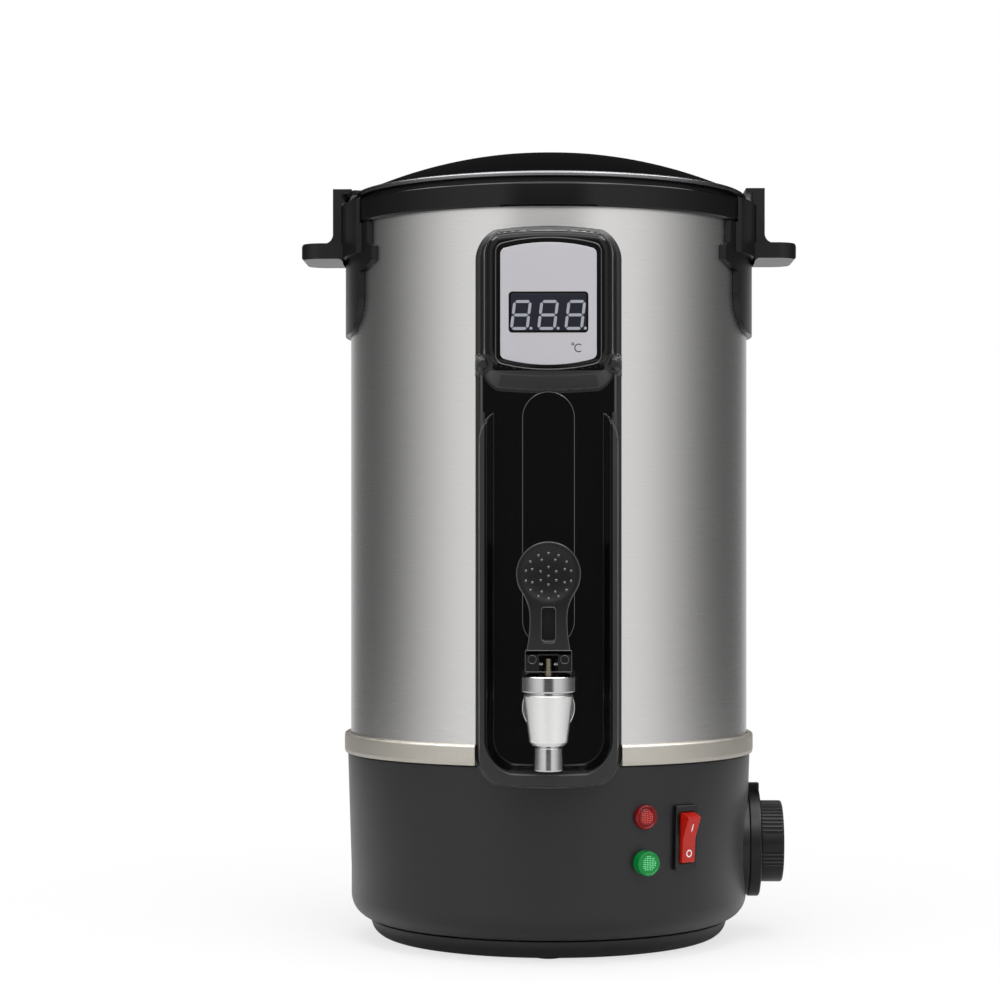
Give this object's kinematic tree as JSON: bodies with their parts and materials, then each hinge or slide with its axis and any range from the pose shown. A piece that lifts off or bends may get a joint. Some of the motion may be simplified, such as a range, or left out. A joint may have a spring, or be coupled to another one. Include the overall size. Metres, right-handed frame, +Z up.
{
  "type": "candle wax melter",
  "caption": "Tall stainless urn that melts wax in a heated inner pot, with a bayonet lid, side handles, a temperature display, a lever tap, a dial thermostat and a rocker switch.",
  "frame": {"origin": "the pot's vertical axis at floor level, the centre of the plane of the four rubber feet", "axes": "+Z up along the pot's axis, -Y the front with the tap and display, +X the side with the thermostat knob"},
  "size_m": [0.2672, 0.2733, 0.4234],
  "materials": {
    "stainless": "brushed",
    "trim_nickel": "satin",
    "black_moulding": "satin moulded",
    "base_moulding": "fine satin moulded",
    "gloss_black": "gloss moulded",
    "foot_rubber": "matt",
    "silicone": "matt",
    "seal_silicone": "matt",
    "zinc_steel": "zinc plated",
    "aluminium": "as cast",
    "element_steel": "oxidised",
    "ceramic": "unglazed",
    "copper": "drawn",
    "label_silver": "satin printed",
    "window_smoke": "gloss tinted",
    "board_green": "solder mask",
    "tap_satin": "satin plated",
    "tap_chrome": "polished",
    "switch_black": "satin moulded",
    "rocker_red": "clear red",
    "lens_red": "clear red",
    "lens_green": "clear green"
  },
  "bodies": {
    "urn": {"outer_shell": "stainless", "inner_pot": "stainless", "top_rim": "gloss_black", "trim_ring": "trim_nickel", "base_housing": "base_moulding", "foot_ring": "base_moulding", "rubber_feet": "foot_rubber", "base_plate": "zinc_steel", "base_screws": "zinc_steel", "heating_plate": "aluminium", "heating_element": "element_steel", "thermal_cutout": "ceramic", "temperature_probe": "trim_nickel", "left_handle": "black_moulding", "right_handle": "black_moulding", "handle_screws": "zinc_steel", "front_panel": "gloss_black", "panel_screws": "zinc_steel", "display_label": "label_silver", "display_window": "window_smoke", "display_board": "board_green", "tap_body": "tap_satin", "tap_spout": "tap_chrome", "tap_collar": "tap_chrome", "tap_spring": "zinc_steel", "tap_washers": "silicone", "tap_nut": "tap_chrome", "thermostat": "zinc_steel", "capillary_bulb": "copper", "dial_plate": "black_moulding", "power_switch": "switch_black", "red_lamp": "lens_red", "green_lamp": "lens_green", "lamp_nuts": "switch_black", "terminal_block": "ceramic", "cord_gland": "switch_black", "gland_nut": "switch_black"},
    "lid_ring": {"lid_gasket": "silicone"},
    "lid": {"lid": "gloss_black"},
    "stem": {"tap_stem": "tap_satin", "tap_seal": "seal_silicone"},
    "lever": {"tap_lever": "black_moulding", "lever_pin": "zinc_steel"},
    "knob": {"thermostat_knob": "black_moulding", "thermostat_shaft": "zinc_steel", "knob_screw": "zinc_steel"},
    "rocker": {"switch_rocker": "rocker_red"}
  },
  "joints": [
    {"name": "lid_lift", "type": "slide", "parent": "urn", "child": "lid_ring", "axis": [0, 0, 1], "range_m": [0, 0.13]},
    {"name": "lid_turn", "type": "hinge", "parent": "lid_ring", "child": "lid", "pos_m": [0, 0, 0.4], "axis": [0, 0, 1], "range_deg": [-17, 0]},
    {"name": "stem_lift", "type": "slide", "parent": "urn", "child": "stem", "axis": [0, 0, 1], "range_m": [0, 0.00383], "stiffness_N_per_m": 600, "springref_m": -0.004, "deforming": ["tap_spring"]},
    {"name": "lever_pull", "type": "hinge", "parent": "stem", "child": "lever", "pos_m": [0, -0.14, 0.1536], "axis": [1, 0, 0], "range_deg": [0, 40]},
    {"name": "dial_turn", "type": "hinge", "parent": "urn", "child": "knob", "pos_m": [0.12, 0, 0.051], "axis": [-1, 0, 0], "range_deg": [0, 280]},
    {"name": "rocker_press", "type": "hinge", "parent": "urn", "child": "rocker", "pos_m": [0.07022, -0.08369, 0.06226], "axis": [-0.766, -0.6428, 0], "range_deg": [0, 20]}
  ],
  "couplings": [
    {"joint": "lever_pull", "follows": "stem_lift", "rad_per_m": 181.82}
  ]
}
